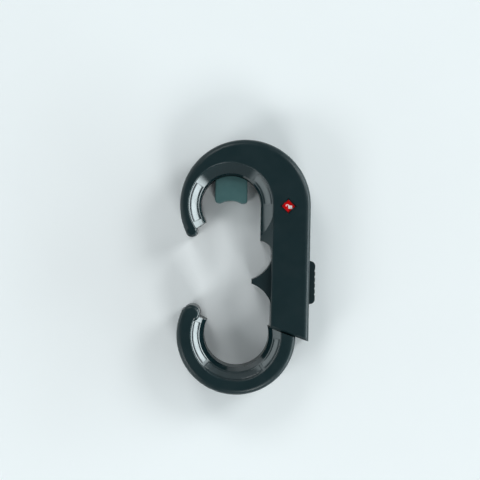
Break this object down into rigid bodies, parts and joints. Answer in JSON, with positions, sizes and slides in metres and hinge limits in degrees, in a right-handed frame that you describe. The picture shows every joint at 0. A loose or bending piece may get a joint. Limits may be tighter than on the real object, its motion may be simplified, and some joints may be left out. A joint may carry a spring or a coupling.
{
  "type": "cabinet safety lock",
  "caption": "Telescoping C-shaped lock that closes round two cabinet knobs, with a toothed arm, squeeze buttons and a red and green indicator.",
  "frame": {"origin": "below the middle of the outline, on the surface that the lock's back lies on", "axes": "+Y along the arm towards the head, +Z out of the front face, +X towards the leg with the outer button"},
  "size_m": [0.0704, 0.1302, 0.024],
  "materials": {
    "charcoal_plastic": "fine satin moulded grain",
    "button_plastic": "fine satin moulded grain",
    "arm_plastic": "smooth moulded",
    "natural_acetal": "smooth",
    "grip_rubber": "soft matte",
    "gloss_liner": "polished",
    "clear_lens": "clear polycarbonate",
    "red_plastic": "gloss",
    "green_plastic": "gloss",
    "screw_steel": "zinc plated",
    "spring_steel": "bright drawn"
  },
  "bodies": {
    "head": {"head_front_shell": "charcoal_plastic", "head_rear_shell": "charcoal_plastic", "housing_screws": "screw_steel", "window_lens": "clear_lens", "head_grip_pad": "grip_rubber", "head_liner_left": "gloss_liner", "head_liner_right": "gloss_liner", "stop_pin": "screw_steel", "outer_spring": "spring_steel", "inner_spring": "spring_steel", "detent_clip": "spring_steel"},
    "outer_slider": {"outer_button": "button_plastic", "outer_yoke": "natural_acetal"},
    "inner_slider": {"inner_button": "button_plastic", "inner_yoke": "natural_acetal"},
    "indicator": {"indicator_bar": "natural_acetal", "red_flag": "red_plastic", "green_flag": "green_plastic"},
    "hook": {"hook_front_cover": "charcoal_plastic", "hook_rear_frame": "charcoal_plastic", "hook_screws": "screw_steel", "toothed_arm": "arm_plastic", "arm_pins": "screw_steel", "hook_liner_left": "gloss_liner", "hook_liner_right": "gloss_liner", "hook_liner_bottom": "gloss_liner"}
  },
  "joints": [
    {"name": "arm_slide", "type": "slide", "parent": "head", "child": "hook", "axis": [0, -1, 0], "range_m": [0, 0.036]},
    {"name": "outer_button_slide", "type": "slide", "parent": "head", "child": "outer_slider", "axis": [1, 0, 0], "range_m": [0, 0.0034], "stiffness_N_per_m": 200, "springref_m": 0.0094, "deforming": ["outer_spring"]},
    {"name": "inner_button_slide", "type": "slide", "parent": "head", "child": "inner_slider", "axis": [-1, 0, 0], "range_m": [0, 0.0034], "stiffness_N_per_m": 200, "springref_m": 0.0094, "deforming": ["inner_spring"]},
    {"name": "indicator_slide", "type": "slide", "parent": "head", "child": "indicator", "axis": [0, 1, 0], "range_m": [0, 0.0068], "deforming": ["detent_clip"]}
  ],
  "couplings": [
    {"joint": "indicator_slide", "follows": "outer_button_slide", "ratio": 2}
  ]
}
